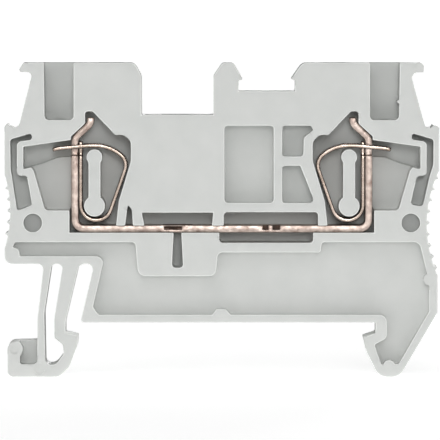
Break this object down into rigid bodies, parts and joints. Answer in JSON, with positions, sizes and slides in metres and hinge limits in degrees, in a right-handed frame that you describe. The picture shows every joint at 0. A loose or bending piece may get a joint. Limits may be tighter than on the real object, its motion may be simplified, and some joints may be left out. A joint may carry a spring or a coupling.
{
  "type": "feed-through terminal block",
  "caption": "Slim rail-mounted feed-through terminal block in grey plastic with a spring-cage clamp at each end, a bent current bar and a sprung rail foot.",
  "frame": {"origin": "on the rail seat, in the middle of the rail's 35 mm width and of the block's 5.2 mm width", "axes": "+X along the block from the sprung foot to the fixed foot, +Y through its width towards the closed side, +Z away from the rail"},
  "size_m": [0.0485, 0.0061, 0.0351],
  "materials": {
    "housing_plastic": "satin light grey moulding",
    "tinned_copper": "tin-plated copper, satin",
    "spring_steel": "bright rolled spring steel"
  },
  "bodies": {
    "housing": {"housing": "housing_plastic", "current_bar": "tinned_copper"},
    "left_clamp": {"left_spring": "spring_steel"},
    "right_clamp": {"right_spring": "spring_steel"}
  },
  "joints": [
    {"name": "left_clamp_open", "type": "hinge", "parent": "housing", "child": "left_clamp", "pos_m": [-0.01367, -0.0002, 0.01311], "axis": [0, -1, 0], "range_deg": [0, 13], "stiffness_Nm_per_rad": 0.4, "springref_deg": -8.59, "deforming": ["left_spring"]},
    {"name": "right_clamp_open", "type": "hinge", "parent": "housing", "child": "right_clamp", "pos_m": [0.01441, -0.0002, 0.01311], "axis": [0, 1, 0], "range_deg": [0, 13], "stiffness_Nm_per_rad": 0.4, "springref_deg": -8.59, "deforming": ["right_spring"]}
  ]
}
